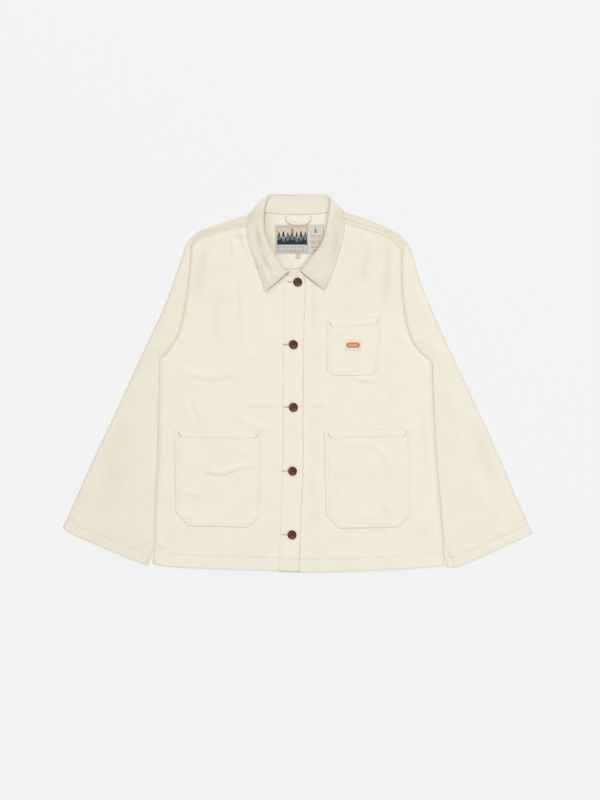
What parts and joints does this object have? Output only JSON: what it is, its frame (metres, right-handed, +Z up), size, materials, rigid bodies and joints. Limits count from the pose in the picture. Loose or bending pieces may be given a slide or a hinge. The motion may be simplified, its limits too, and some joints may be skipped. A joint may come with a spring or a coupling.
{
  "type": "chore jacket laid flat",
  "caption": "Cream cotton chore jacket laid flat and buttoned, with a rolled collar, patch pockets, forward shoulder seams and dark buttons.",
  "frame": {"origin": "centre of the bounding box, on the surface that the jacket lies on", "axes": "+X across the jacket towards the wearer's left sleeve, +Y from hem to collar, +Z up from the surface, out of the jacket's front"},
  "size_m": [0.8995, 0.724, 0.0109],
  "materials": {
    "twill": "heavy cream cotton twill, matt, with cream topstitching",
    "woven_label": "finely woven label cloth, blush or cream with coloured threads",
    "button": "dark horn-coloured plastic, polished, mottled"
  },
  "bodies": {
    "root": {"back": "twill", "front_right": "twill", "front_left": "twill", "sleeve_right": "twill", "sleeve_left": "twill", "collar": "twill", "pocket_chest": "twill", "pocket_right": "twill", "pocket_left": "twill", "hanger_loop": "twill", "neck_label": "woven_label", "size_tab": "woven_label", "chest_tab": "woven_label", "button_1": "button", "button_2": "button", "button_3": "button", "button_4": "button", "button_5": "button"}
  },
  "joints": []
}
